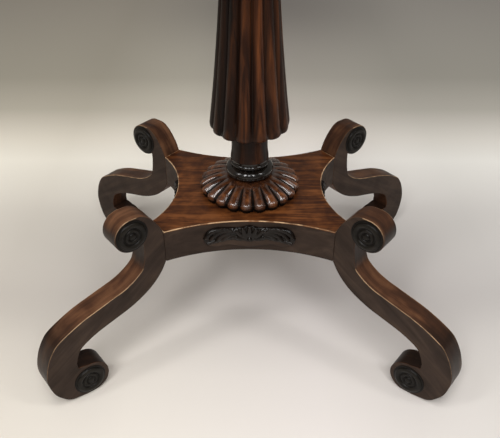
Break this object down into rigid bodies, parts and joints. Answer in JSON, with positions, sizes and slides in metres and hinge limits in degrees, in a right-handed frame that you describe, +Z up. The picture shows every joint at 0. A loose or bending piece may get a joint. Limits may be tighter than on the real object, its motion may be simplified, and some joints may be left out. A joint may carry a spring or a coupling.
{
  "type": "occasional table",
  "caption": "Pedestal occasional table: tip-up rectangular top on a reeded flaring column, gadrooned collar, hollow-sided platform and S-scroll legs with turned roundels.",
  "frame": {"origin": "on the floor under the column's axis, the middle of the table's outline", "axes": "+Z up; +X along the top's length; -Y is the front, towards the viewer of the picture"},
  "size_m": [0.62, 0.49, 0.73],
  "materials": {
    "rosewood": "dark figured wood, French polished, worn pale on the arrises",
    "rosewood_veneer": "streaky reddish veneer, French polished",
    "ebonised_wood": "carved and turned, near black, glossy",
    "mahogany": "plain secondary wood, oiled",
    "beech": "bare",
    "brass": "cast and filed, dulled by age",
    "iron": "hand-cut wood screw, dark"
  },
  "bodies": {
    "base": {"carved_tablet_back": "ebonised_wood", "carved_tablet_front": "ebonised_wood", "carved_tablet_left": "ebonised_wood", "carved_tablet_right": "ebonised_wood", "column": "rosewood", "dowel_back_left_lower": "beech", "dowel_back_left_upper": "beech", "dowel_back_right_lower": "beech", "dowel_back_right_upper": "beech", "dowel_front_left_lower": "beech", "dowel_front_left_upper": "beech", "dowel_front_right_lower": "beech", "dowel_front_right_upper": "beech", "gadrooned_collar": "ebonised_wood", "leg_back_left": "rosewood", "leg_back_right": "rosewood", "leg_front_left": "rosewood", "leg_front_right": "rosewood", "neck_ring": "ebonised_wood", "platform": "rosewood", "platform_top_veneer": "rosewood_veneer", "roundel_back_left_foot_left": "ebonised_wood", "roundel_back_left_foot_right": "ebonised_wood", "roundel_back_left_top_left": "ebonised_wood", "roundel_back_left_top_right": "ebonised_wood", "roundel_back_right_foot_left": "ebonised_wood", "roundel_back_right_foot_right": "ebonised_wood", "roundel_back_right_top_left": "ebonised_wood", "roundel_back_right_top_right": "ebonised_wood", "roundel_front_left_foot_left": "ebonised_wood", "roundel_front_left_foot_right": "ebonised_wood", "roundel_front_left_top_left": "ebonised_wood", "roundel_front_left_top_right": "ebonised_wood", "roundel_front_right_foot_left": "ebonised_wood", "roundel_front_right_foot_right": "ebonised_wood", "roundel_front_right_top_left": "ebonised_wood", "roundel_front_right_top_right": "ebonised_wood", "strike_plate": "brass", "tenon_wedge": "beech", "tilt_block": "mahogany"},
    "top": {"top_board": "rosewood_veneer", "bearer_left": "mahogany", "bearer_right": "mahogany", "pivot_left": "brass", "pivot_right": "brass", "bolt_case": "brass", "bearer_screw_left_back": "iron", "bearer_screw_left_front": "iron", "bearer_screw_left_middle": "iron", "bearer_screw_right_back": "iron", "bearer_screw_right_front": "iron", "bearer_screw_right_middle": "iron"},
    "bolt": {"slide_bolt": "brass"}
  },
  "joints": [
    {"name": "top_tilt", "type": "hinge", "parent": "base", "child": "top", "pos_m": [0, 0.054, 0.6917], "axis": [-1, 0, 0], "range_deg": [0, 90]},
    {"name": "bolt_slide", "type": "slide", "parent": "top", "child": "bolt", "axis": [0, 1, 0], "range_m": [0, 0.0118]}
  ]
}
